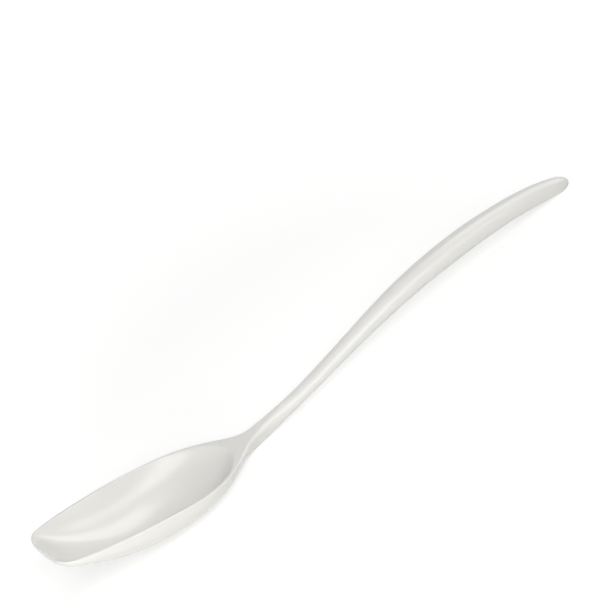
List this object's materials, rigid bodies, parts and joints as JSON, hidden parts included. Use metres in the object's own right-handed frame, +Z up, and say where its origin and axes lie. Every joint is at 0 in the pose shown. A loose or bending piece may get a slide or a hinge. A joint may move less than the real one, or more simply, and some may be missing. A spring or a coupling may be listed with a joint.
{
  "type": "cooking spoon",
  "caption": "One-piece moulded cooking spoon with a deep slender bowl, a straight tip with rounded corners, a flat neck and a curved, swelling handle.",
  "frame": {"origin": "middle of the spoon's box on the surface that it lies on, with the belly of the bowl and the handle's end both resting at z = 0", "axes": "+X from the straight tip towards the handle's end, +Z up out of the hollow, +Y to the left of someone looking from the tip along +X"},
  "size_m": [0.3122, 0.0498, 0.0331],
  "materials": {
    "melamine": "smooth, glossy, slightly warm white"
  },
  "bodies": {
    "root": {"bowl": "melamine", "handle": "melamine"}
  },
  "joints": []
}
